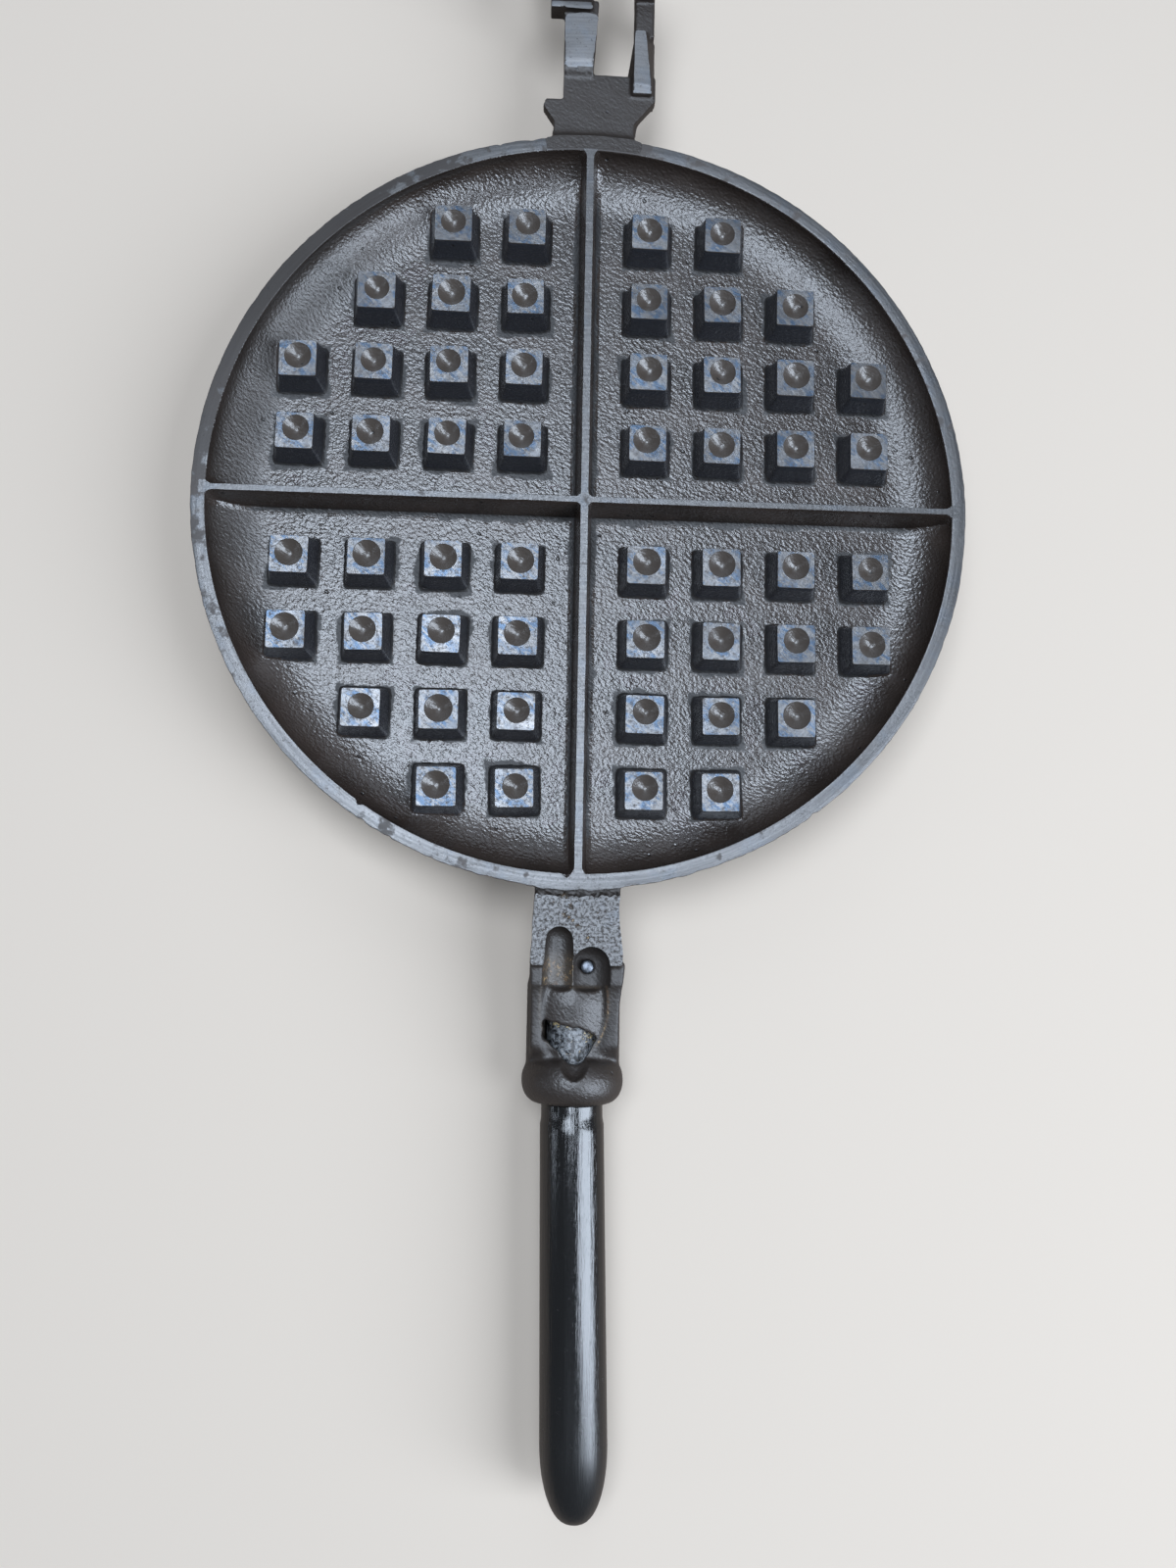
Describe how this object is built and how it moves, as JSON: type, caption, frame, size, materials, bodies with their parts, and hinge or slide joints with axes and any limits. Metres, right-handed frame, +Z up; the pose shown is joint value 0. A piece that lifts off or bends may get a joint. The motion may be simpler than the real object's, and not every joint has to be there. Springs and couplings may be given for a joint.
{
  "type": "stovetop waffle iron",
  "caption": "Round cast iron stovetop waffle iron that opens flat on a lift-apart finger hinge, with a ribbed and pegged grid in each bowl and a turned black wooden handle on each side.",
  "frame": {"origin": "on the table, under the middle of the hinge, with the iron lying open and flat on its two foot rings", "axes": "+X along the hinge axis, +Y from the lower paddle's handle to the upper paddle's handle, +Z up from the table out of the open grids"},
  "size_m": [0.192, 0.7714, 0.0304],
  "materials": {
    "seasoned_iron": "seasoned, satin",
    "lacquered_wood": "black gloss lacquer",
    "worn_steel": "worn bright"
  },
  "bodies": {
    "lower": {"lower_paddle": "seasoned_iron", "lower_handle": "lacquered_wood", "lower_handle_pin": "worn_steel"},
    "upper": {"upper_paddle": "seasoned_iron", "upper_handle": "lacquered_wood", "upper_handle_pin": "worn_steel"}
  },
  "joints": [
    {"name": "hinge", "type": "hinge", "parent": "lower", "child": "upper", "pos_m": [0, 0, 0.02545], "axis": [1, 0, 0], "range_deg": [0, 180]}
  ]
}
